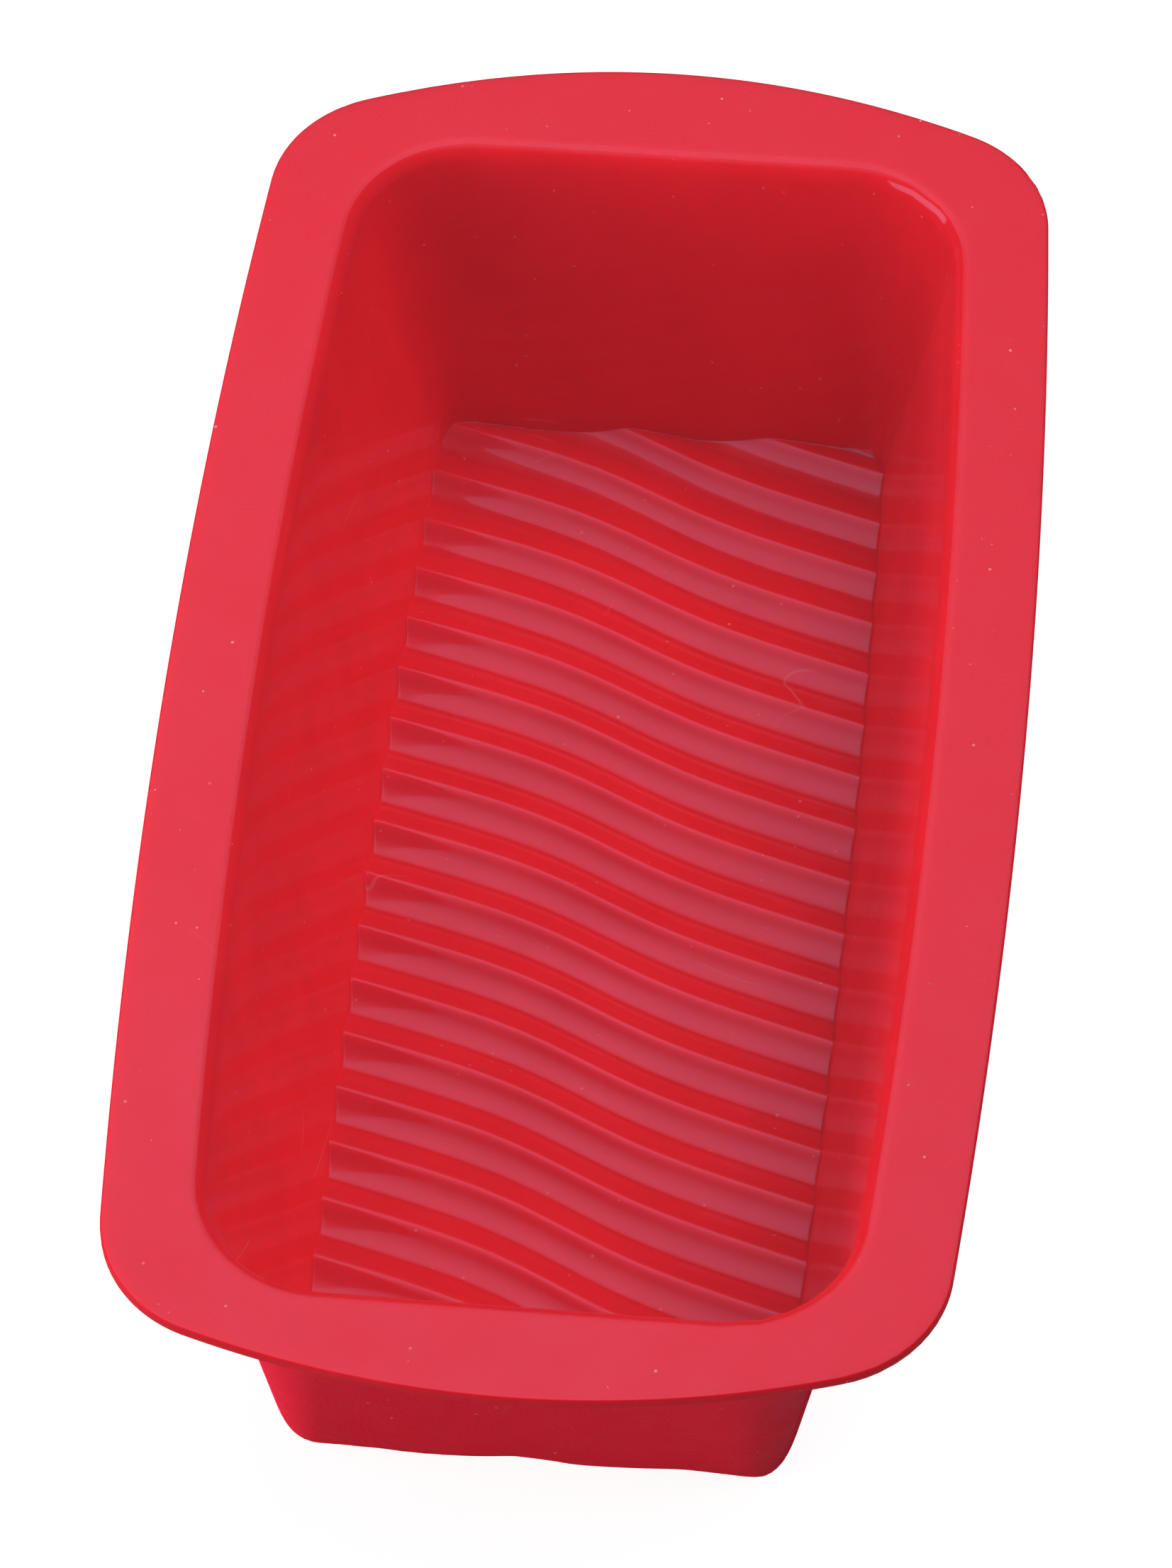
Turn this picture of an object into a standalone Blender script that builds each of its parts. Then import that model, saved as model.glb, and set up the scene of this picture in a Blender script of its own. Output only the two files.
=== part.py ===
"""A one-piece silicone loaf pan: a tapered trough with a wide rim and a floor of slanting S-shaped waves.

Lengths are in metres, +Z is up, +Y runs along the pan, and the origin is under its middle at the table.
"""

import math

import bmesh
import bpy

# Overall size
WIDTH = 0.136
LENGTH = 0.260
HEIGHT = 0.062

# Rim outline, seen from above: how far the middle of each side stands out beyond its ends, and the corners
RIM_SIDE_BOW = 0.0041
RIM_END_BOW = 0.0080
RIM_CORNER_RADIUS = 0.0217
RIM_THICKNESS = 0.0019

# Opening, and how far inside it the straight walls would pass if the lip did not curve away
OPENING_WIDTH = 0.1076
OPENING_LENGTH = 0.2264
OPENING_SIDE_BOW = 0.0030
OPENING_CORNER_RADIUS = 0.0208
LIP_RADIUS = 0.0028
LIP_INSET = 0.0013

# Floor, measured where the inner walls meet the bottom of the waves
FLOOR_WIDTH = 0.0787
FLOOR_LENGTH = 0.2030
FLOOR_SIDE_BOW = 0.0015
FLOOR_CORNER_RADIUS = 0.0050
FLOOR_LEVEL = 0.0013

# Walls and the outside
WALL_THICKNESS = 0.0013
BASE_EDGE_RADIUS = 0.0030
UNDER_RIM_RADIUS = 0.0015

# Waves in the floor
WAVE_PERIOD = 0.01067
WAVE_HEIGHT = 0.0017
WAVE_PHASE = 0.0028
WAVE_SLANT = 0.257
WAVE_BEND = 0.0035
WAVE_BEND_REACH = 0.0148
# One wave from its crest towards -Y: share of the period, share of the height
WAVE_PROFILE = ((0.0, 1.0), (0.12, 0.66), (0.28, 0.21), (0.50, 0.0), (0.63, 0.28))
WAVE_COLUMNS = 14
WAVE_HALF_SPREAD = 0.048
# Vertical thickness of the floor, and how far its hollow underside stops short of the inner walls
FLOOR_THICKNESS = 0.0015
UNDERSIDE_INSET = 0.0008

# Segments of each outline
SIDE_SEGMENTS = 8
END_SEGMENTS = 6
CORNER_SEGMENTS = 8
ROUND_SEGMENTS = 4

# How far cutters pass beyond what they cut
CLEARANCE = 0.010

COLOUR = (0.62, 0.018, 0.028, 1.0)


def outline(width, length, side_bow, end_bow, radius, offset=0.0):
    """Points of a rectangle with bowed sides and round corners, anticlockwise, moved out by offset."""
    core_x = width / 2 - radius
    core_y = length / 2 - radius
    corner_x, corner_y = core_x, core_y
    for _ in range(20):
        corner_x = core_x - side_bow * (corner_y / core_y) ** 2
        corner_y = core_y - end_bow * (corner_x / core_x) ** 2
    reach = radius + offset
    quarter = []

    def place(x, y, angle):
        quarter.append((x + reach * math.cos(angle), y + reach * math.sin(angle)))

    for i in range(SIDE_SEGMENTS // 2 + 1):
        y = corner_y * i / (SIDE_SEGMENTS // 2)
        side_angle = math.atan(2 * side_bow * y / core_y**2)
        place(core_x - side_bow * (y / core_y) ** 2, y, side_angle)
    end_angle = math.pi / 2 - math.atan(2 * end_bow * corner_x / core_x**2)
    for i in range(1, CORNER_SEGMENTS + 1):
        angle = side_angle + (end_angle - side_angle) * i / CORNER_SEGMENTS
        place(corner_x, corner_y, angle)
    for i in range(1, END_SEGMENTS // 2 + 1):
        x = corner_x * (1 - i / (END_SEGMENTS // 2))
        angle = math.pi / 2 - math.atan(2 * end_bow * x / core_x**2)
        place(x, core_y - end_bow * (x / core_x) ** 2, angle)
    half = quarter + [(-x, y) for x, y in quarter[-2::-1]]
    return half + [(x, -y) for x, y in half[-2:0:-1]]


def rim_outline(offset=0.0):
    return outline(WIDTH, LENGTH, RIM_SIDE_BOW, RIM_END_BOW, RIM_CORNER_RADIUS, offset)


def opening_outline(offset=0.0):
    return outline(OPENING_WIDTH, OPENING_LENGTH, OPENING_SIDE_BOW, 0.0, OPENING_CORNER_RADIUS, offset)


def floor_outline(offset=0.0):
    return outline(FLOOR_WIDTH, FLOOR_LENGTH, FLOOR_SIDE_BOW, 0.0, FLOOR_CORNER_RADIUS, offset)


def wall_outline(z, offset=0.0):
    """The wall at height z, on straight lines from the floor outline to just inside the opening."""
    share = (z - FLOOR_LEVEL) / (HEIGHT - FLOOR_LEVEL)
    pairs = zip(floor_outline(offset), opening_outline(offset - LIP_INSET))
    return [(a + (c - a) * share, b + (d - b) * share) for (a, b), (c, d) in pairs]


def loft(name, rings):
    """A closed solid through rings of (z, points), which run upwards and hold the same number of points."""
    mesh = bmesh.new()
    loops = [[mesh.verts.new((x, y, z)) for x, y in points] for z, points in rings]
    for lower, upper in zip(loops, loops[1:]):
        for i in range(len(lower)):
            mesh.faces.new((lower[i - 1], lower[i], upper[i], upper[i - 1]))
    mesh.faces.new(reversed(loops[0]))
    mesh.faces.new(loops[-1])
    return finish(name, mesh)


def finish(name, mesh):
    bmesh.ops.recalc_face_normals(mesh, faces=mesh.faces)
    data = bpy.data.meshes.new(name)
    mesh.to_mesh(data)
    mesh.free()
    return bpy.data.objects.new(name, data)


def body():
    """The pan's outside with its rim, solid inside."""
    rings = []
    for i in range(ROUND_SEGMENTS + 1):
        angle = math.pi / 2 * i / ROUND_SEGMENTS
        z = BASE_EDGE_RADIUS * (1 - math.cos(angle))
        inset = BASE_EDGE_RADIUS * (1 - math.sin(angle))
        rings.append((z, wall_outline(z, WALL_THICKNESS - inset)))
    underside = HEIGHT - RIM_THICKNESS
    for i in range(ROUND_SEGMENTS + 1):
        angle = math.pi / 2 * i / ROUND_SEGMENTS
        z = underside - UNDER_RIM_RADIUS * (1 - math.sin(angle))
        flare = UNDER_RIM_RADIUS * (1 - math.cos(angle))
        rings.append((z, wall_outline(z, WALL_THICKNESS + flare)))
    rings.append((underside, rim_outline()))
    rings.append((HEIGHT, rim_outline()))
    return loft("silicone_pan", rings)


def cavity_walls():
    """The space between the inner walls, flaring at the lip and passing above the rim."""
    low = FLOOR_LEVEL - CLEARANCE
    rings = [(low, wall_outline(low))]
    for i in range(ROUND_SEGMENTS + 1):
        angle = math.pi / 2 * i / ROUND_SEGMENTS
        z = HEIGHT - LIP_RADIUS * (1 - math.sin(angle))
        flare = LIP_RADIUS * (1 - math.cos(angle))
        rings.append((z, wall_outline(z, flare)))
    rings.append((HEIGHT + CLEARANCE, wall_outline(HEIGHT, LIP_RADIUS)))
    return loft("cavity_cutter", rings)


def crest_drop(x):
    """How far a crest line has moved towards -Y at x."""
    return WAVE_SLANT * x + WAVE_BEND * math.tanh(x / WAVE_BEND_REACH)


def wave_slab(name, level):
    """A slab whose top holds the waves with their valleys at level, its rows along the crest lines."""
    reach = FLOOR_LENGTH / 2 + crest_drop(WAVE_HALF_SPREAD)
    waves = math.ceil(reach / WAVE_PERIOD) + 1
    rows = []
    for wave in range(waves, -waves, -1):
        for share, height in WAVE_PROFILE:
            rows.append((WAVE_PHASE + (wave - share) * WAVE_PERIOD, level + height * WAVE_HEIGHT))
    mesh = bmesh.new()
    bmesh.ops.create_grid(mesh, x_segments=WAVE_COLUMNS, y_segments=len(rows) - 1, size=1.0)
    for vert in mesh.verts:
        x = vert.co.x * WAVE_HALF_SPREAD
        y, z = rows[round((1 - vert.co.y) / 2 * (len(rows) - 1))]
        vert.co = (x, y - crest_drop(x), z)
    top = list(mesh.faces)
    lower = bmesh.ops.extrude_face_region(mesh, geom=top)["geom"]
    for vert in lower:
        if isinstance(vert, bmesh.types.BMVert):
            vert.co.z = level - CLEARANCE
    return finish(name, mesh)


def underside_limit():
    """The prism that keeps the hollow underside inside the base's flat border."""
    edge = floor_outline(-UNDERSIDE_INSET)
    return loft("underside_limit", [(-CLEARANCE / 2, edge), (CLEARANCE, edge)])


def boolean(target, operand, operation):
    modifier = target.modifiers.new(operand.name, "BOOLEAN")
    modifier.operation = operation
    modifier.solver = "EXACT"
    modifier.object = operand


def silicone():
    material = bpy.data.materials.new("red_silicone")
    material.use_nodes = True
    shader = material.node_tree.nodes["Principled BSDF"]
    shader.inputs["Base Color"].default_value = COLOUR
    shader.inputs["Roughness"].default_value = 0.35
    shader.inputs["IOR"].default_value = 1.41
    return material


def main():
    for obj in list(bpy.data.objects):
        bpy.data.objects.remove(obj, do_unlink=True)
    parts = bpy.data.collections.new("loaf_pan")
    cutters = bpy.data.collections.new("cutters")
    bpy.context.scene.collection.children.link(parts)
    bpy.context.scene.collection.children.link(cutters)
    cutters.hide_render = True

    pan = body()
    parts.objects.link(pan)
    pan.data.materials.append(silicone())

    cavity = cavity_walls()
    floor = wave_slab("floor_waves", FLOOR_LEVEL)
    boolean(cavity, floor, "DIFFERENCE")
    hollow = wave_slab("underside_waves", FLOOR_LEVEL - FLOOR_THICKNESS)
    limit = underside_limit()
    boolean(hollow, limit, "INTERSECT")
    for cutter in (cavity, floor, hollow, limit):
        cutters.objects.link(cutter)
        cutter.hide_render = True
        cutter.display_type = "WIRE"

    boolean(pan, cavity, "DIFFERENCE")
    boolean(pan, hollow, "DIFFERENCE")
    bpy.context.view_layer.update()


main()
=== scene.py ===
"""The looks of a one-piece red silicone loaf pan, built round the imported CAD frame.

The whole pan is one closed sheet. Its floor is a grid whose rows follow the crests of the waves, and its walls,
lip, rim and outside are rings that carry the grid's edge up, over and down again to a second grid underneath.
Lengths are in metres, +Z is up and +Y runs along the pan.
"""

import math

import bpy
import numpy as np
from mathutils import Matrix, Vector


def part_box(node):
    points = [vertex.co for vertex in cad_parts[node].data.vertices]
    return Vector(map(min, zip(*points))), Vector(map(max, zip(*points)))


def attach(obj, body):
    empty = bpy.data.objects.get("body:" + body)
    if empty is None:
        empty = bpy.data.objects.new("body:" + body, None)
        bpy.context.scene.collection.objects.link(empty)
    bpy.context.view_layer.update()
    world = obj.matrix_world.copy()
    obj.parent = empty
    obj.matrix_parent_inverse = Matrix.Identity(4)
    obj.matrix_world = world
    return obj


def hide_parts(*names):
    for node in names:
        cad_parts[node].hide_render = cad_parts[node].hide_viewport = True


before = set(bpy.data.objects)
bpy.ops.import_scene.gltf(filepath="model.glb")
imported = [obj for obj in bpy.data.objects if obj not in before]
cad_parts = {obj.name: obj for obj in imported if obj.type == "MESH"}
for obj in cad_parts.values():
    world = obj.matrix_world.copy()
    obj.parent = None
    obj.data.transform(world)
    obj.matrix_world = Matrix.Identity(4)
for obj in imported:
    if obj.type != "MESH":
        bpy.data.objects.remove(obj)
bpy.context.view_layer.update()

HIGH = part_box("silicone_pan")[1]

# Outlines seen from above: half sizes, how far the middle of a side stands out, and corner radius
RIM = dict(half_x=HIGH.x, half_y=HIGH.y, side_bow=0.0041, end_bow=0.0080, radius=0.0217)
OPENING = dict(half_x=0.0541, half_y=0.1137, side_bow=0.0030, end_bow=0.0, radius=0.0208)
FLOOR = dict(half_x=0.03935, half_y=0.1015, side_bow=0.0015, end_bow=0.0, radius=0.0050)

# Heights and thicknesses
TOP = HIGH.z
FLOOR_LEVEL = 0.0013
SHEET = 0.0013
FLOOR_SHEET = 0.0015
RIM_SHEET = 0.0019

# Round stretches
FLOOR_FILLET = 0.0010
BASE_FILLET = 0.0060
RIM_EDGE_ROUND = 0.0003
UNDER_RIM_RADIUS = 0.0015
DRAFT = math.atan(0.22)  # the walls' lean from upright
LIP_INSET = 0.00126  # how far inside the opening's outline the straight wall would reach it
LIP_CURVES = ((77, 34, 0.0040), (34, 18, 0.0002), (18, 0, 0.0050))  # tilt from, tilt to, radius: wall to rim
LIP_STEP = 4.0  # degrees
SATIN_TILT, POLISHED_TILT = 7, 14  # the lip turns from satin to polished between these tilts

# Waves
PERIOD = 0.01067
WAVE_HEIGHT = 0.00168
PHASE = 0.00280
SLANT = 0.257
BEND = 0.00350
BEND_REACH = 0.0148
FLOOR_DOME = 0.0008  # how much higher the floor is along its middle
# Slope of the floor against phase, from a crest towards -Y: up is positive
SLOPES = ((0.0, 0.0), (0.02, -0.40), (0.06, -0.48), (0.12, -0.615), (0.16, -0.54), (0.20, -0.43),
          (0.28, -0.30), (0.38, -0.16), (0.44, -0.07), (0.50, 0.0), (0.55, 0.18), (0.59, 0.62),
          (0.63, 0.52), (0.70, 0.34), (0.90, 0.26), (0.97, 0.20), (1.0, 0.0))
SLOPE_SAMPLES = 1001

# How the soft pan departs from its outlines, near its two ends only
FAR_RIM_BULGE = 0.0015
NEAR_LIP_SAG = 0.0005
BASE_LEAN = Vector((-0.0012, -0.0012))
END_START, END_REACH = 0.05, 0.06

# The two grids: where they end and the walls' rings begin, and how their rows and columns are spread
INNER_EDGE = FLOOR_LEVEL + 0.0037
OUTER_EDGE = FLOOR_LEVEL + 0.0067
INNER_CROWDING = 0.0010
OUTER_CROWDING = 0.0018
ROWS_PER_WAVE = 18
CREST_CROWDING = 0.55
COLUMNS = 64
EDGE_STEPS = (0, 0.1, 0.2, 0.29, 0.37, 0.45, 0.53, 0.61, 0.69, 0.78, 0.88, 1.0, 1.15, 1.4, 1.8, 2.4, 3.2)
EDGE_SHARE = 0.42  # the most of a row that the columns crowded at one edge may take
EASED_ROWS = 5
EDGE_SAMPLES = 24001
PLACE_STEP = 0.002

# Rings
WALL_RINGS = 6
RIM_STEPS = (0.03, 0.10, 0.25, 0.45, 0.65, 0.85, 0.97, 1.0)
EDGE_SEGMENTS = 3
UNDER_RIM_RINGS = 4

# Colours of the silicone
RED_DEEP = (0.76, 0.0120, 0.024)
RED_CLEAR = (0.82, 0.0140, 0.027)
RED_SATIN = (0.87, 0.0150, 0.027)
RED_OUTSIDE = (0.70, 0.0110, 0.040)
# Painted shade for the rim's cut edge, which is darkened towards this red
RED_EDGE_PAINTED_SHADE = (0.25, 0.0060, 0.020)
SATIN_SHARE, OUTSIDE_SHARE, EDGE_PAINTED_SHADE = 0.8, 0.7, 0.35
PAINTED_GLOW = (0.0, 0.0078, 0.0098)  # painted glow: an emission that stands in for light coming through the thin sheet, whatever the angle
PAINTED_GLOW_LOSS = 0.9  # how much of the painted glow the outside and the cut edge lose

# Reflections of the silicone
IOR = 1.42
SPECULAR, SPECULAR_GRAZING = 0.72, 0.01
GRAZING = (0.50, 0.85)
SATIN_SHEEN, OUTSIDE_SHEEN_LOSS, EDGE_SHEEN_LOSS = 1.34, 0.75, 1.0
TINT = (0.5, 0.6, 1.0)
TINT_OUTSIDE = (0.5, 0.1, 0.95)
SATIN_ROUGH = (0.37, 0.47)
POLISHED_ROUGH = (0.055, 0.09)

# Light inside the silicone
SCATTER_RADIUS = (1.0, 0.12, 0.12)
SCATTER_SCALE = 0.0030

# Noises, in waves per metre, and the part of a noise's range that is used
COLOUR_NOISE, SHEEN_NOISE, SATIN_NOISE, POLISHED_NOISE = 55, 22, 140, 90
GRAIN_NOISE, FLOW_NOISE, FLOW_SHARE = 1500, 90, 0.25
RIM_GRAIN, OUTSIDE_GRAIN = 0.25, 1.0
GRAIN_DEPTH = 0.0002
SATIN_BUMP, POLISHED_BUMP = 0.45, 0.03
SHEEN_SPREAD = (0.93, 1.07)
MIDDLE, MOST = (0.35, 0.65), (0.3, 0.7)
WHOLE = (0.0, 1.0)

# Dust specks and hair scratches
DUST = (0.95, 0.42, 0.45)
DUST_CELLS = 600
DUSTY_CELLS, SPECK_SIZE = (0.86, 1.0), (0.0, 0.17)
SPECK_STRENGTH, SPECK_ON_POLISH = (0.15, 0.7), 0.4
SCRATCH_NOISE, SCRATCH_WIDTH = 14, 0.0009
SCRATCH_PATCHES, SCRATCHED, SCRATCH_STRENGTH = 60, (0.62, 0.72), (0.0, 0.11)

# Table
TABLE_REACH = 3.0
TABLE_DROP = 0.0002
TABLE_GLOW = 0.90
TABLE_GREY, TABLE_GREY_UNSEEN = 0.28, 0.35

# Lights
SOFTBOX_CENTRE = Vector((-0.10, 0.18, 0.62))
SOFTBOX_REACH_X = 0.64
SOFTBOX_REACH_Y = 0.86
SOFTBOX_BRIGHTNESS = 1.33
SIDE_DIRECTION = Vector((-0.92, -0.30, 0.15)).normalized()
SIDE_DISTANCE = 0.8
SIDE_WIDTH = 0.6
SIDE_HEIGHT = 0.3
SIDE_BRIGHTNESS = 7.3
GLINT_DIRECTION = Vector((-0.90, -0.30, 0.46)).normalized()
GLINT_WIDTH = 1.0
GLINT_HEIGHT = 0.46
GLINT_BRIGHTNESS = 2.2
FILL_DISTANCE = 1.5
# Panels that only light the pan and never show in its gloss: turn from +X, elevation, width, height, brightness
FILL_PANELS = (("front_fill", 270, 8, 2.6, 0.35, 2.0),
               ("left_fill", 208, 30, 1.5, 0.70, 1.6),
               ("high_right_fill", 30, 62, 1.7, 0.80, 2.8))
GLOSS_FILL = 0.02  # the surroundings' brightness in reflections
BACKDROP = 1.0  # and straight behind the pan

# Camera
CAMERA_TARGET = Vector((-0.00285, 0.0069, 0.030))
CAMERA_DISTANCE = 1.3078
CAMERA_AZIMUTH = math.radians(7.653)
CAMERA_ELEVATION = math.radians(53.483)
CAMERA_ROLL = math.radians(-2.2125)
CAMERA_LENS = 186.44
CAMERA_SENSOR = 36.0
CAMERA_CLIP = (0.01, 20.0)


class Outline:
    """A rectangle with bowed sides and round corners. A place on it is a number from 0 to 8, anticlockwise."""

    def __init__(self, half_x, half_y, side_bow, end_bow, radius):
        self.side_bow, self.end_bow, self.radius = side_bow, end_bow, radius
        self.core_x, self.core_y = half_x - radius, half_y - radius
        self.corner_x, self.corner_y = self.core_x, self.core_y
        for _ in range(20):
            self.corner_x = self.core_x - side_bow * (self.corner_y / self.core_y) ** 2
            self.corner_y = self.core_y - end_bow * (self.corner_x / self.core_x) ** 2

    def at(self, place, offset=0.0):
        """x and y at the place, moved out by offset. Each half has a side, a corner, an end and a corner."""
        place = np.mod(place, 8.0)
        turned = place >= 4.0
        t = np.where(turned, place - 4.0, place)
        share = np.mod(t, 1.0)
        section = np.floor(t).astype(int)
        y = self.corner_y * (2 * share - 1)
        x = self.corner_x * (1 - 2 * share)
        side = math.atan(2 * self.side_bow * self.corner_y / self.core_y**2)
        end = math.pi / 2 - math.atan(2 * self.end_bow * self.corner_x / self.core_x**2)
        turn = (end - side) * share
        angle = np.choose(section, (
            np.arctan(2 * self.side_bow * y / self.core_y**2),
            side + turn,
            math.pi / 2 - np.arctan(2 * self.end_bow * x / self.core_x**2),
            math.pi - end + turn))
        centre_x = np.choose(section, (
            self.core_x - self.side_bow * (y / self.core_y) ** 2,
            np.full_like(x, self.corner_x), x, np.full_like(x, -self.corner_x)))
        centre_y = np.choose(section, (
            y, np.full_like(x, self.corner_y),
            self.core_y - self.end_bow * (x / self.core_x) ** 2, np.full_like(x, self.corner_y)))
        reach = self.radius + offset
        sign = np.where(turned, -1.0, 1.0)
        return sign * (centre_x + reach * np.cos(angle)), sign * (centre_y + reach * np.sin(angle))


rim, opening, floor = Outline(**RIM), Outline(**OPENING), Outline(**FLOOR)


def mix(a, b, share):
    return a + (b - a) * share


def wall(place, z, offset=0.0):
    """The wall at height z, on straight lines from the floor outline to the opening."""
    share = (z - FLOOR_LEVEL) / (TOP - FLOOR_LEVEL)
    fx, fy = floor.at(place, offset)
    ox, oy = opening.at(place, offset)
    return mix(fx, ox, share), mix(fy, oy, share)


def outside_by(x, y, z, offset):
    """How far (x, y) lies outside the wall's outline at height z."""
    share = (z - FLOOR_LEVEL) / (TOP - FLOOR_LEVEL)
    core_x, core_y = mix(floor.core_x, opening.core_x, share), mix(floor.core_y, opening.core_y, share)
    bow = mix(floor.side_bow, opening.side_bow, share)
    radius = mix(floor.radius, opening.radius, share) + offset
    along = np.minimum(np.abs(y), core_y)
    qx = np.abs(x) - (core_x - bow * (along / core_y) ** 2)
    qy = np.abs(y) - core_y
    return np.hypot(np.maximum(qx, 0), np.maximum(qy, 0)) + np.minimum(np.maximum(qx, qy), 0) - radius


def wall_height(x, y, offset):
    """The height at which the wall passes over (x, y), far below the floor in its middle."""
    z = np.full_like(x, FLOOR_LEVEL)
    step, lowest = 0.001, -0.5
    for _ in range(4):
        here = outside_by(x, y, z, offset)
        slope = (outside_by(x, y, z + step, offset) - here) / step
        z = np.clip(z - here / slope, lowest, TOP)
    return z


def crest_drop(x):
    """How far a crest line has moved towards -Y at x."""
    return SLANT * x + BEND * np.tanh(x / BEND_REACH)


def wave_table():
    """Height of the wave against phase, both from 0 to 1, from its slopes."""
    phase = np.linspace(0, 1, SLOPE_SAMPLES)
    knots, slopes = np.array(SLOPES).T
    slope = np.interp(phase, knots, slopes)
    falling = slope < 0
    slope[falling] *= -slope[~falling].sum() / slope[falling].sum()
    height = np.concatenate([[0], np.cumsum((slope[1:] + slope[:-1]) / 2)])
    return phase, (height - height.min()) / (height.max() - height.min())


WAVE_TABLE = wave_table()


def wave(x, y):
    """Height of the waved floor."""
    phase = np.mod((PHASE - y - crest_drop(x)) / PERIOD, 1.0)
    dome = FLOOR_DOME * (1 - np.minimum(np.abs(x) / FLOOR["half_x"], 1) ** 2)
    return FLOOR_LEVEL + dome + WAVE_HEIGHT * np.interp(phase, *WAVE_TABLE)


def smooth_max(a, b, reach):
    """The larger of a and b, rounded off where they differ by less than reach."""
    gap = np.maximum(reach - np.abs(a - b), 0.0)
    return np.maximum(a, b) + gap**2 / (4 * reach)


def inner_height(x, y):
    return smooth_max(wave(x, y), wall_height(x, y, 0.0), FLOOR_FILLET)


def outer_height(x, y):
    bottom = np.maximum(wave(x, y) - FLOOR_SHEET, 0.0)
    return smooth_max(bottom, wall_height(x, y, SHEET), BASE_FILLET)


def row_levels(top, bottom):
    """Values of y + crest_drop for the rows, crowded at the crests, from above top to below bottom."""
    levels = []
    for number in range(math.ceil((top - bottom) / PERIOD) + 2):
        for i in range(ROWS_PER_WAVE):
            t = i / ROWS_PER_WAVE
            share = t - CREST_CROWDING / (2 * math.pi) * math.sin(2 * math.pi * t)
            levels.append(PHASE + (math.floor((top - PHASE) / PERIOD) + 1 - number - share) * PERIOD)
    return np.array(levels)


def squeezed(levels, top, bottom):
    """The levels, with those that lie beyond top or bottom spread between it and the first one inside."""
    levels = levels.copy()
    above, below = int((levels >= top).sum()), int((levels <= bottom).sum())
    if above:
        levels[:above] = np.linspace(top, levels[above], above + 1)[:-1]
    if below:
        levels[-below:] = np.linspace(levels[-below - 1], bottom, below + 1)[1:]
    return levels


def eased(values):
    """Running means of the values, so that neighbouring rows differ little."""
    padded = np.pad(values, EASED_ROWS // 2, mode="edge")
    return np.convolve(padded, np.full(EASED_ROWS, 1 / EASED_ROWS), mode="valid")


def grid(edge_z, offset, crowding, levels=None):
    """Rows across the floor inside the wall's outline at edge_z.

    Returns x and y of shape (rows, columns), the places of the grid's border, and the rows' levels.
    """
    places = np.linspace(-4, 8, EDGE_SAMPLES)
    ex, ey = wall(places, edge_z, offset)
    level = ey + crest_drop(ex)
    first = np.argmax(np.where((places > 0) & (places < 3), level, -1.0))
    last = np.argmin(np.where(places > 4, level, 1.0))
    before = np.argmin(np.where(places < 0, level, 1.0))
    top, bottom = level[first], level[last]
    margin = PERIOD / 40
    if levels is None:
        levels = row_levels(top, bottom)
        levels = levels[(levels < top - margin) & (levels > bottom + margin)]
    else:
        levels = squeezed(levels, top - margin, bottom + margin)
    left = np.interp(-levels, -level[first:last + 1], places[first:last + 1])
    right = np.interp(levels, level[before:first + 1], places[before:first + 1])
    lx = wall(left, edge_z, offset)[0]
    rx = wall(right, edge_z, offset)[0]
    span = rx - lx

    def perpendicular(place, x):
        """Distance from the edge gained for each unit of x along a row."""
        ahead = wall(place + PLACE_STEP, edge_z, offset)
        behind = wall(place - PLACE_STEP, edge_z, offset)
        tx, ty = ahead[0] - behind[0], ahead[1] - behind[1]
        slope = -(SLANT + BEND / BEND_REACH / np.cosh(x / BEND_REACH) ** 2)
        return np.abs((ty - slope * tx) / np.hypot(tx, ty))

    steps = np.array(EDGE_STEPS) * crowding
    left_x = steps[None, :] * eased(1 / perpendicular(left, lx))[:, None]
    right_x = steps[None, :] * eased(1 / perpendicular(right, rx))[:, None]
    left_x *= np.minimum(1.0, EDGE_SHARE * span / left_x[:, -1])[:, None]
    right_x *= np.minimum(1.0, EDGE_SHARE * span / right_x[:, -1])[:, None]
    inside = COLUMNS - 2 * len(steps)
    a, b = lx + left_x[:, -1], rx - right_x[:, -1]
    middle = np.arange(1, inside + 1) / (inside + 1)
    x = np.concatenate([lx[:, None] + left_x, a[:, None] + (b - a)[:, None] * middle,
                        rx[:, None] - right_x[:, ::-1]], axis=1)
    y = levels[:, None] - crest_drop(x)
    # The first and last rows lie on the edge itself
    first_places = np.linspace(left[0], right[0], COLUMNS)
    last_places = np.linspace(left[-1], right[-1] + 8, COLUMNS)
    x[0], y[0] = wall(first_places, edge_z, offset)
    x[-1], y[-1] = wall(last_places, edge_z, offset)
    loop = np.concatenate([left[::-1], first_places[1:-1], right, last_places[1:-1][::-1] - 8])
    return x, y, loop, levels


def lip_profile():
    """The lip's points after the wall's end: how far out, how far up, and tilt in degrees from level."""
    out = up = 0.0
    points = []
    for start, end, radius in LIP_CURVES:
        count = max(round((start - end) / LIP_STEP), 2)
        step = (start - end) / count
        for i in range(count):
            middle = math.radians(start - (i + 0.5) * step)
            out += radius * math.radians(step) * math.cos(middle)
            up += radius * math.radians(step) * math.sin(middle)
            points.append((out, up, start - (i + 1) * step))
    return points


def narrowing(z):
    """Offset at height z that leads the wall to a place LIP_INSET inside the opening's outline."""
    return -LIP_INSET * (z - FLOOR_LEVEL) / (TOP - FLOOR_LEVEL)


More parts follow.
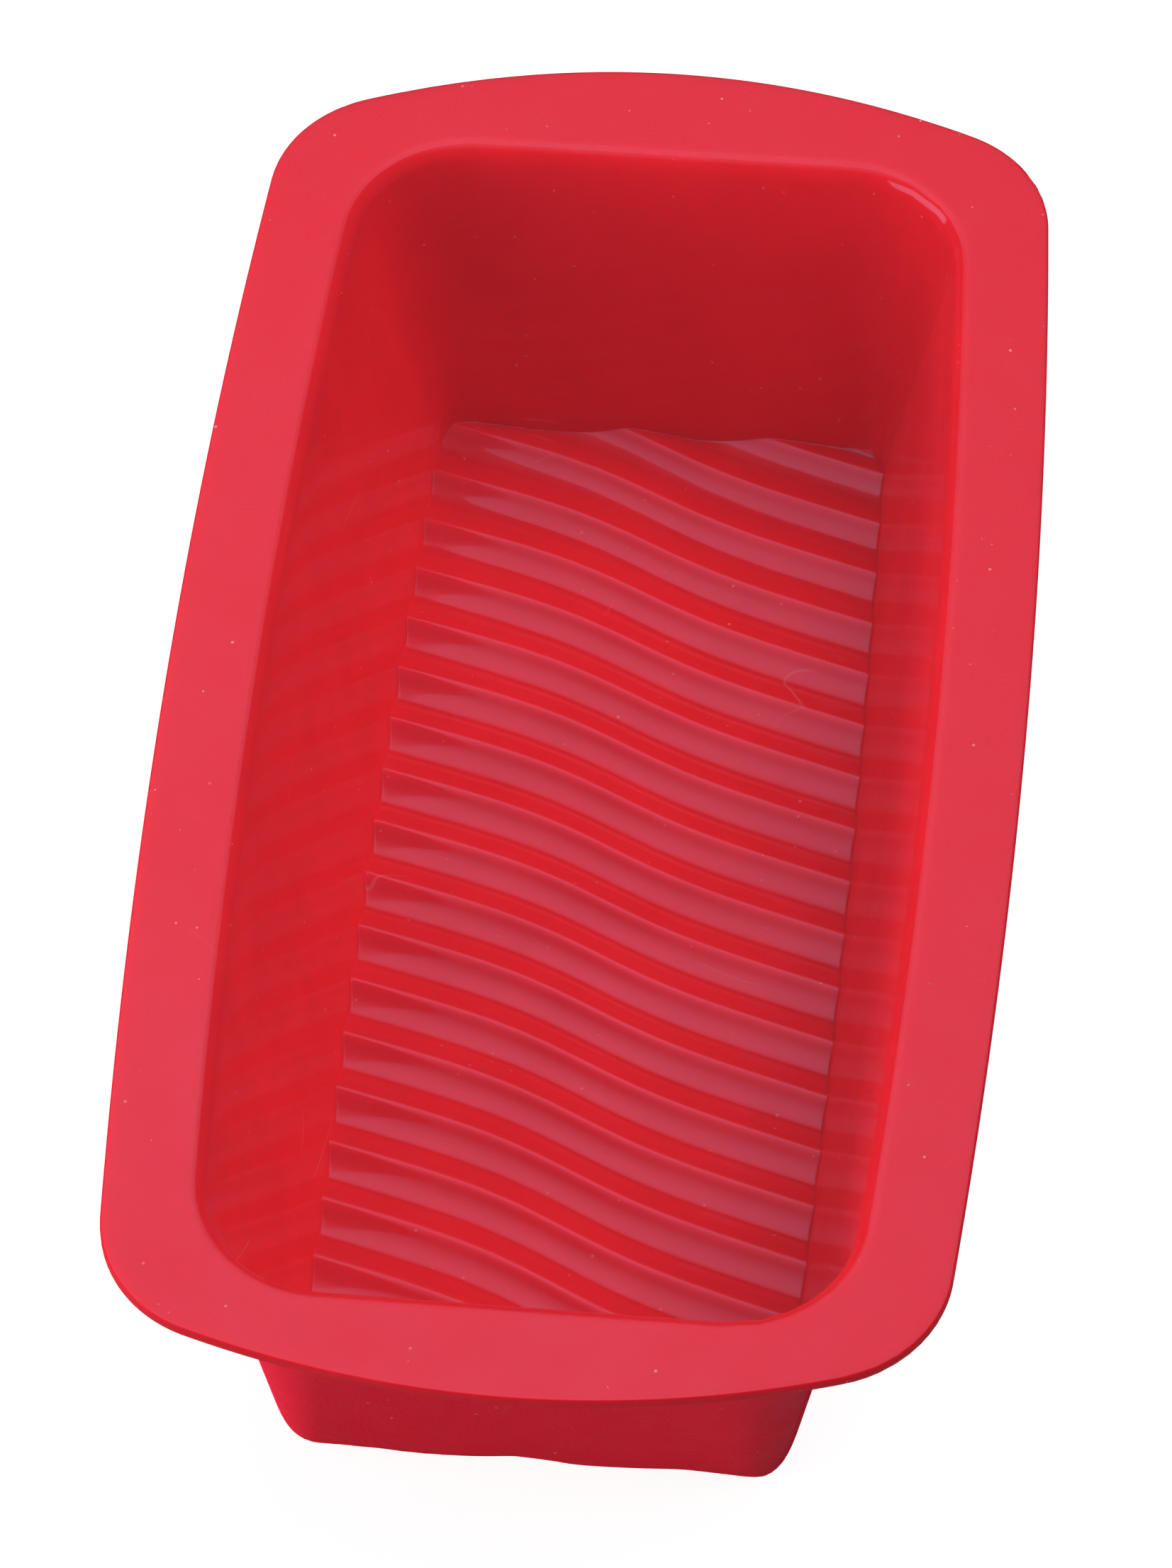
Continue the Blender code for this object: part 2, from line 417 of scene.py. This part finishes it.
class Sheet:
    """Points with their finish, the rings that they form and the quads of the two grids."""

    def __init__(self):
        self.points, self.rings, self.quads = [], [], []
        self.values = {"gloss": [], "pebble": [], "edge": [], "rim_share": []}
        self.count = 0

    def add(self, x, y, z, gloss=0.0, pebble=0.0, edge=0.0, rim_share=0.0):
        size = np.size(x)
        z = np.broadcast_to(z, np.shape(x))
        self.points.append(np.stack([np.ravel(x), np.ravel(y), np.ravel(z)], -1))
        for name, value in (("gloss", gloss), ("pebble", pebble), ("edge", edge), ("rim_share", rim_share)):
            self.values[name].append(np.full(size, value))
        self.count += size
        return np.arange(self.count - size, self.count).reshape(np.shape(x))

    def ring(self, x, y, z, **finish):
        self.rings.append(self.add(x, y, z, **finish))

    def patch(self, x, y, z, faces_up, **finish):
        """A grid of points. Its border is a ring too."""
        ids = self.add(x, y, z, **finish)
        corners = [ids[:-1, :-1], ids[1:, :-1], ids[1:, 1:], ids[:-1, 1:]]
        if not faces_up:
            corners = [corners[0], corners[3], corners[2], corners[1]]
        self.quads.append(np.stack(corners, -1).reshape(-1, 4))
        self.rings.append(np.concatenate([ids[::-1, 0], ids[0, 1:-1], ids[:, -1], ids[-1, 1:-1][::-1]]))

    def faces(self):
        between = [np.stack([a, np.roll(a, -1), np.roll(b, -1), b], -1)
                   for a, b in zip(self.rings, self.rings[1:])]
        return np.concatenate(self.quads + between)


def inner_wall(sheet, loop, lip_start):
    for i in range(1, WALL_RINGS + 1):
        share = i / WALL_RINGS
        z = mix(INNER_EDGE, lip_start, share)
        x, y = wall(loop, z, narrowing(z) - narrowing(INNER_EDGE) * (1 - share))
        sheet.ring(x, y, z, gloss=1.0)


def lip_and_rim_top(sheet, loop, profile, lip_start):
    for out, up, tilt in profile:
        lip_x, lip_y = wall(loop, lip_start, narrowing(lip_start) + out)
        gloss = min(max((tilt - SATIN_TILT) / (POLISHED_TILT - SATIN_TILT), 0), 1)
        sheet.ring(lip_x, lip_y, lip_start + up, gloss=gloss)
    x, y = rim.at(loop, -RIM_EDGE_ROUND)
    for share in RIM_STEPS:
        sheet.ring(mix(lip_x, x, share), mix(lip_y, y, share), TOP, rim_share=share)


def rim_edge(sheet, loop, under_loop):
    """The rim's cut edge. Over it, the rings' points move from the floor's places to the underside's."""
    angles = [math.pi / 2 * i / EDGE_SEGMENTS for i in range(2 * EDGE_SEGMENTS + 1)]
    steps = [(angle, RIM_EDGE_ROUND) for angle in angles[1:EDGE_SEGMENTS + 1]]
    steps += [(angle, RIM_SHEET - RIM_EDGE_ROUND) for angle in angles[EDGE_SEGMENTS:]]
    for i, (angle, depth) in enumerate(steps, 1):
        place = mix(loop, under_loop, i / len(steps))
        x, y = rim.at(place, RIM_EDGE_ROUND * (math.sin(angle) - 1))
        sheet.ring(x, y, TOP - depth + RIM_EDGE_ROUND * math.cos(angle), edge=1.0, rim_share=1.0)
    return x, y


def rim_underside(sheet, loop, edge_x, edge_y):
    """The rim's underside and the round stretch below it. Returns the height at which the outer wall begins."""
    underside = TOP - RIM_SHEET
    centre_z = underside - UNDER_RIM_RADIUS
    end_z = centre_z + UNDER_RIM_RADIUS * math.sin(DRAFT)
    offset = SHEET + narrowing(end_z)
    x, y = wall(loop, end_z, offset + UNDER_RIM_RADIUS * math.cos(DRAFT))
    for i in range(1, UNDER_RIM_RINGS + 1):
        share = i / UNDER_RIM_RINGS
        sheet.ring(mix(edge_x, x, share), mix(edge_y, y, share), underside, pebble=1.0, rim_share=1 - share)
    for i in range(1, UNDER_RIM_RINGS + 1):
        angle = mix(math.pi / 2, DRAFT, i / UNDER_RIM_RINGS)
        x, y = wall(loop, end_z, offset + UNDER_RIM_RADIUS * (math.cos(DRAFT) - math.cos(angle)))
        sheet.ring(x, y, centre_z + UNDER_RIM_RADIUS * math.sin(angle), pebble=1.0)
    return end_z


def outer_wall(sheet, loop, start):
    for i in range(1, WALL_RINGS):
        share = i / WALL_RINGS
        z = mix(start, OUTER_EDGE, share)
        x, y = wall(loop, z, mix(SHEET + narrowing(start), SHEET, share))
        sheet.ring(x, y, z, pebble=1.0)


def settle(points, rim_share):
    """Moves the points the way a soft pan settles: its far rim bulges, and its near end leans a little."""
    x, y, z = points.T
    up = np.clip(z / TOP, 0, 1)
    far = np.clip((y - END_START) / END_REACH, 0, 1)
    near = np.clip((-y - END_START) / END_REACH, 0, 1)
    far, near = far**2 * (3 - 2 * far), near**2 * (3 - 2 * near)
    y += FAR_RIM_BULGE * rim_share * far * np.maximum(1 - (x / END_START) ** 2, 0)
    y -= NEAR_LIP_SAG * (1 - rim_share) * near * up
    x += BASE_LEAN.x * near * (1 - up) * np.clip(0.5 - x / (2 * FLOOR["half_x"]), 0, 1)
    y += BASE_LEAN.y * near * (1 - up)


def loaf_pan_sheet():
    """The whole pan as one object."""
    # The underside comes first, because it's the larger grid and so sets the rows of both
    under_x, under_y, under_loop, levels = grid(OUTER_EDGE, SHEET, OUTER_CROWDING)
    x, y, loop, _ = grid(INNER_EDGE, 0.0, INNER_CROWDING, levels)
    profile = lip_profile()
    lip_start = TOP - profile[-1][1]
    sheet = Sheet()
    sheet.patch(x, y, inner_height(x, y), faces_up=True, gloss=1.0)
    inner_wall(sheet, loop, lip_start)
    lip_and_rim_top(sheet, loop, profile, lip_start)
    edge_x, edge_y = rim_edge(sheet, loop, under_loop)
    outer_start = rim_underside(sheet, under_loop, edge_x, edge_y)
    outer_wall(sheet, under_loop, outer_start)
    sheet.patch(under_x, under_y, outer_height(under_x, under_y), faces_up=False, pebble=1.0)

    values = {name: np.concatenate(parts) for name, parts in sheet.values.items()}
    points = np.concatenate(sheet.points)
    settle(points, values.pop("rim_share"))
    return sheet_object(points, sheet.faces(), values)


def sheet_object(points, faces, values):
    mesh = bpy.data.meshes.new("loaf_pan_sheet")
    mesh.vertices.add(len(points))
    mesh.vertices.foreach_set("co", points.astype(np.float32).ravel())
    mesh.loops.add(faces.size)
    mesh.loops.foreach_set("vertex_index", faces.astype(np.int32).ravel())
    mesh.polygons.add(len(faces))
    mesh.polygons.foreach_set("loop_start", np.arange(0, faces.size, 4, dtype=np.int32))
    mesh.update(calc_edges=True)
    mesh.validate()
    mesh.shade_smooth()
    for name, numbers in values.items():
        attribute = mesh.attributes.new(name, "FLOAT", "POINT")
        attribute.data.foreach_set("value", numbers.astype(np.float32))
    obj = bpy.data.objects.new("loaf_pan_sheet", mesh)
    bpy.context.scene.collection.objects.link(obj)
    return obj


class Shading:
    """Short ways to add nodes to a material. Each input is a number or another node's output."""

    def __init__(self, material):
        material.use_nodes = True
        self.nodes, self.links = material.node_tree.nodes, material.node_tree.links
        self.shader = self.nodes["Principled BSDF"]
        self.coordinate = self.nodes.new("ShaderNodeTexCoord")

    def feed(self, socket, value):
        if isinstance(value, bpy.types.NodeSocket):
            self.links.new(value, socket)
        elif isinstance(value, tuple) and len(value) == 3 and socket.type == "RGBA":
            socket.default_value = (*value, 1)
        else:
            socket.default_value = value

    def noise(self, scale, detail=2.0, rough=0.5):
        node = self.nodes.new("ShaderNodeTexNoise")
        for name, number in (("Scale", scale), ("Detail", detail), ("Roughness", rough)):
            node.inputs[name].default_value = number
        self.links.new(self.coordinate.outputs["Object"], node.inputs["Vector"])
        return node.outputs["Fac"]

    def spread(self, value, source, target):
        """Value, taken from the source range to the target range and held inside it."""
        node = self.nodes.new("ShaderNodeMapRange")
        for name, number in zip(("From Min", "From Max", "To Min", "To Max"), (*source, *target)):
            self.feed(node.inputs[name], number)
        self.links.new(value, node.inputs["Value"])
        return node.outputs["Result"]

    def maths(self, kind, a, b=0.0):
        node = self.nodes.new("ShaderNodeMath")
        node.operation = kind
        self.feed(node.inputs[0], a)
        self.feed(node.inputs[1], b)
        return node.outputs["Value"]

    def times(self, a, b):
        return self.maths("MULTIPLY", a, b)

    def minus(self, a, b):
        return self.maths("SUBTRACT", a, b)

    def blend(self, share, a, b):
        """From colour a to colour b."""
        node = self.nodes.new("ShaderNodeMix")
        node.data_type = "RGBA"
        self.feed(node.inputs["A"], a)
        self.feed(node.inputs["B"], b)
        self.links.new(share, node.inputs["Factor"])
        return node.outputs["Result"]

    def attribute(self, name):
        node = self.nodes.new("ShaderNodeAttribute")
        node.attribute_name = name
        return node.outputs["Fac"]


def base_colour(s, gloss, pebble, edge):
    """One red, a little uneven, clearer on the rim and cooler outside, with painted shade darkening the rim's
    cut edge.
    """
    red = s.blend(s.spread(s.noise(COLOUR_NOISE, 3.0), MIDDLE, WHOLE), RED_DEEP, RED_CLEAR)
    satin = s.minus(1.0, gloss)
    red = s.blend(s.times(s.minus(satin, pebble), SATIN_SHARE), red, RED_SATIN)
    red = s.blend(s.times(pebble, OUTSIDE_SHARE), red, RED_OUTSIDE)
    # Painted shade on the rim's cut edge
    return s.blend(s.times(edge, EDGE_PAINTED_SHADE), red, RED_EDGE_PAINTED_SHADE)


def sheen(s, gloss, pebble, edge):
    """Strength of the reflections: less at grazing angles, more on the rim's satin and less outside."""
    weight = s.nodes.new("ShaderNodeLayerWeight")
    weight.inputs["Blend"].default_value = 0.5
    level = s.minus(s.spread(gloss, WHOLE, (SATIN_SHEEN, 1.0)), s.times(pebble, OUTSIDE_SHEEN_LOSS))
    level = s.minus(level, s.times(edge, EDGE_SHEEN_LOSS))
    level = s.times(level, s.spread(s.noise(SHEEN_NOISE, 3.0), MIDDLE, SHEEN_SPREAD))
    return s.times(s.spread(weight.outputs["Facing"], GRAZING, (SPECULAR, SPECULAR_GRAZING)), level)


def roughness(s, gloss):
    """Satin on the rim and outside, polished inside, both a little uneven."""
    satin = s.spread(s.noise(SATIN_NOISE, 4.0, 0.6), MOST, SATIN_ROUGH)
    polished = s.spread(s.noise(POLISHED_NOISE, 3.0), MOST, POLISHED_ROUGH)
    return s.spread(gloss, WHOLE, (satin, polished))


def grain(s, gloss, pebble):
    """Pebbled outside, fine on the rim, and a faint flow of the moulding inside."""
    pebbles = s.times(s.noise(GRAIN_NOISE), s.spread(pebble, WHOLE, (RIM_GRAIN, OUTSIDE_GRAIN)))
    height = s.maths("ADD", pebbles, s.times(s.noise(FLOW_NOISE, 1.0), FLOW_SHARE))
    bump = s.nodes.new("ShaderNodeBump")
    bump.inputs["Distance"].default_value = GRAIN_DEPTH
    s.links.new(s.spread(gloss, WHOLE, (SATIN_BUMP, POLISHED_BUMP)), bump.inputs["Strength"])
    s.links.new(height, bump.inputs["Height"])
    return bump.outputs["Normal"]


def dirt_share(s, gloss):
    """How much of the surface is hidden by dust specks and hair scratches."""
    cells = s.nodes.new("ShaderNodeTexVoronoi")
    cells.inputs["Scale"].default_value = DUST_CELLS
    s.links.new(s.coordinate.outputs["Object"], cells.inputs["Vector"])
    split = s.nodes.new("ShaderNodeSeparateColor")
    s.links.new(cells.outputs["Color"], split.inputs["Color"])
    size = s.spread(split.outputs["Red"], DUSTY_CELLS, SPECK_SIZE)
    strength = s.times(s.spread(split.outputs["Green"], WHOLE, SPECK_STRENGTH),
                       s.spread(gloss, WHOLE, (1.0, SPECK_ON_POLISH)))
    speck = s.times(s.maths("LESS_THAN", cells.outputs["Distance"], size), strength)
    thread = s.maths("ABSOLUTE", s.minus(s.noise(SCRATCH_NOISE, 1.0), 0.5))
    scratched = s.spread(s.noise(SCRATCH_PATCHES, 0.0), SCRATCHED, SCRATCH_STRENGTH)
    scratch = s.times(s.maths("LESS_THAN", thread, SCRATCH_WIDTH), scratched)
    return s.maths("MAXIMUM", speck, scratch)


def silicone():
    material = bpy.data.materials.new("red_silicone")
    s = Shading(material)
    gloss, pebble, edge = s.attribute("gloss"), s.attribute("pebble"), s.attribute("edge")
    # Painted glow: a faint emission, weaker outside and on the cut edge, stands in for light coming through the
    # thin sheet
    painted_glow_strength = s.minus(1.0, s.times(s.maths("MAXIMUM", pebble, edge), PAINTED_GLOW_LOSS))
    for name, value in (
            ("Base Color", base_colour(s, gloss, pebble, edge)),
            ("Roughness", roughness(s, gloss)),
            ("Normal", grain(s, gloss, pebble)),
            ("IOR", IOR),
            ("Specular IOR Level", sheen(s, gloss, pebble, edge)),
            ("Specular Tint", s.blend(pebble, TINT, TINT_OUTSIDE)),
            ("Emission Color", PAINTED_GLOW),
            ("Emission Strength", painted_glow_strength),
            ("Subsurface Weight", 1.0),
            ("Subsurface Radius", SCATTER_RADIUS),
            ("Subsurface Scale", SCATTER_SCALE)):
        s.feed(s.shader.inputs[name], value)
    dirt = s.nodes.new("ShaderNodeBsdfDiffuse")
    s.feed(dirt.inputs["Color"], DUST)
    mixer = s.nodes.new("ShaderNodeMixShader")
    s.links.new(dirt_share(s, gloss), mixer.inputs["Fac"])
    s.links.new(s.shader.outputs[0], mixer.inputs[1])
    s.links.new(dirt.outputs[0], mixer.inputs[2])
    s.links.new(mixer.outputs[0], s.nodes["Material Output"].inputs["Surface"])
    return material


def table():
    """A pale table. The camera sees it nearly white, and it throws little light up under the pan."""
    r = TABLE_REACH
    mesh = bpy.data.meshes.new("table")
    mesh.from_pydata([(-r, -r, 0), (r, -r, 0), (r, r, 0), (-r, r, 0)], [], [(0, 1, 2, 3)])
    obj = bpy.data.objects.new("table", mesh)
    obj.location.z = -TABLE_DROP
    bpy.context.scene.collection.objects.link(obj)
    material = bpy.data.materials.new("table")
    material.use_nodes = True
    nodes, links = material.node_tree.nodes, material.node_tree.links
    nodes.remove(nodes["Principled BSDF"])
    glow = nodes.new("ShaderNodeEmission")
    glow.inputs["Strength"].default_value = TABLE_GLOW
    grey = nodes.new("ShaderNodeBsdfDiffuse")
    grey.inputs["Color"].default_value = (TABLE_GREY, TABLE_GREY, TABLE_GREY, 1)
    seen = nodes.new("ShaderNodeAddShader")
    links.new(glow.outputs[0], seen.inputs[0])
    links.new(grey.outputs[0], seen.inputs[1])
    unseen = nodes.new("ShaderNodeBsdfDiffuse")
    unseen.inputs["Color"].default_value = (TABLE_GREY_UNSEEN, TABLE_GREY_UNSEEN, TABLE_GREY_UNSEEN, 1)
    path = nodes.new("ShaderNodeLightPath")
    mixer = nodes.new("ShaderNodeMixShader")
    links.new(path.outputs["Is Camera Ray"], mixer.inputs["Fac"])
    links.new(unseen.outputs[0], mixer.inputs[1])
    links.new(seen.outputs[0], mixer.inputs[2])
    links.new(mixer.outputs[0], nodes["Material Output"].inputs["Surface"])
    mesh.materials.append(material)


def panel(name, width, height, brightness, place, towards):
    """An area light whose middle has the given brightness; towards is the way its back faces."""
    light = bpy.data.lights.new(name, "AREA")
    light.shape = "RECTANGLE"
    light.size, light.size_y = width, height
    light.energy = brightness * math.pi * width * height
    lamp = bpy.data.objects.new(name, light)
    lamp.location = place
    lamp.rotation_euler = towards.to_track_quat("Z", "Y").to_euler()
    bpy.context.scene.collection.objects.link(lamp)
    return lamp


def overhead_softbox():
    """A large softbox above the far end, brightest at its centre and fading to nothing at its edge."""
    lamp = panel("overhead_softbox", 2 * SOFTBOX_REACH_X, 2 * SOFTBOX_REACH_Y, SOFTBOX_BRIGHTNESS,
                 SOFTBOX_CENTRE, Vector((0, 0, 1)))
    lamp.data.use_nodes = True
    nodes, links = lamp.data.node_tree.nodes, lamp.data.node_tree.links
    geometry = nodes.new("ShaderNodeNewGeometry")
    offset = nodes.new("ShaderNodeVectorMath")
    offset.operation = "SUBTRACT"
    offset.inputs[1].default_value = SOFTBOX_CENTRE
    links.new(geometry.outputs["Position"], offset.inputs[0])
    scaled = nodes.new("ShaderNodeVectorMath")
    scaled.operation = "DIVIDE"
    scaled.inputs[1].default_value = (SOFTBOX_REACH_X, SOFTBOX_REACH_Y, 1)
    links.new(offset.outputs[0], scaled.inputs[0])
    length = nodes.new("ShaderNodeVectorMath")
    length.operation = "LENGTH"
    links.new(scaled.outputs[0], length.inputs[0])
    fade = nodes.new("ShaderNodeMapRange")
    fade.interpolation_type = "SMOOTHSTEP"
    fade.inputs["From Min"].default_value = 1.0
    fade.inputs["From Max"].default_value = 0.0
    links.new(length.outputs["Value"], fade.inputs["Value"])
    links.new(fade.outputs[0], nodes["Emission"].inputs["Strength"])


def surroundings():
    """White behind the pan, nearly black in its reflections, and no light of its own on matt surfaces."""
    world = bpy.data.worlds.new("studio")
    bpy.context.scene.world = world
    world.use_nodes = True
    nodes, links = world.node_tree.nodes, world.node_tree.links
    background = nodes["Background"]
    background.inputs["Color"].default_value = (1, 1, 1, 1)
    path = nodes.new("ShaderNodeLightPath")
    glossy = nodes.new("ShaderNodeMix")
    glossy.data_type = "FLOAT"
    links.new(path.outputs["Is Glossy Ray"], glossy.inputs["Factor"])
    glossy.inputs["A"].default_value = 0.0
    glossy.inputs["B"].default_value = GLOSS_FILL
    seen = nodes.new("ShaderNodeMix")
    seen.data_type = "FLOAT"
    links.new(path.outputs["Is Camera Ray"], seen.inputs["Factor"])
    links.new(glossy.outputs["Result"], seen.inputs["A"])
    seen.inputs["B"].default_value = BACKDROP
    links.new(seen.outputs["Result"], background.inputs["Strength"])


def lights():
    overhead_softbox()
    side = panel("side_softbox", SIDE_WIDTH, SIDE_HEIGHT, SIDE_BRIGHTNESS,
                 SIDE_DIRECTION * SIDE_DISTANCE, SIDE_DIRECTION)
    side.visible_glossy = False
    # Seen in the gloss alone: the glint on the lip's far right corner
    glint = panel("corner_glint", GLINT_WIDTH, GLINT_HEIGHT, GLINT_BRIGHTNESS, GLINT_DIRECTION, GLINT_DIRECTION)
    glint.visible_diffuse = False
    for name, turn, elevation, width, height, brightness in FILL_PANELS:
        turn, elevation = math.radians(turn), math.radians(elevation)
        towards = Vector((math.cos(turn) * math.cos(elevation), math.sin(turn) * math.cos(elevation),
                          math.sin(elevation)))
        fill = panel(name, width, height, brightness, towards * FILL_DISTANCE, towards)
        fill.visible_glossy = False


def camera():
    data = bpy.data.cameras.new("camera")
    data.lens = CAMERA_LENS
    data.sensor_width = CAMERA_SENSOR
    data.clip_start, data.clip_end = CAMERA_CLIP
    cam = bpy.data.objects.new("camera", data)
    az, el = CAMERA_AZIMUTH, CAMERA_ELEVATION
    back = Vector((math.sin(az) * math.cos(el), -math.cos(az) * math.cos(el), math.sin(el)))
    right = Vector((0, 0, 1)).cross(back).normalized()
    up = back.cross(right)
    rolled_right = right * math.cos(CAMERA_ROLL) + up * math.sin(CAMERA_ROLL)
    rolled_up = up * math.cos(CAMERA_ROLL) - right * math.sin(CAMERA_ROLL)
    rotation = Matrix((rolled_right, rolled_up, back)).transposed().to_4x4()
    cam.matrix_world = Matrix.Translation(CAMERA_TARGET + back * CAMERA_DISTANCE) @ rotation
    bpy.context.scene.collection.objects.link(cam)
    bpy.context.scene.camera = cam


pan = loaf_pan_sheet()
pan.data.materials.append(silicone())
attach(pan, "root")
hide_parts("silicone_pan")

bpy.context.scene.view_settings.view_transform = "Standard"
table()
surroundings()
lights()
camera()
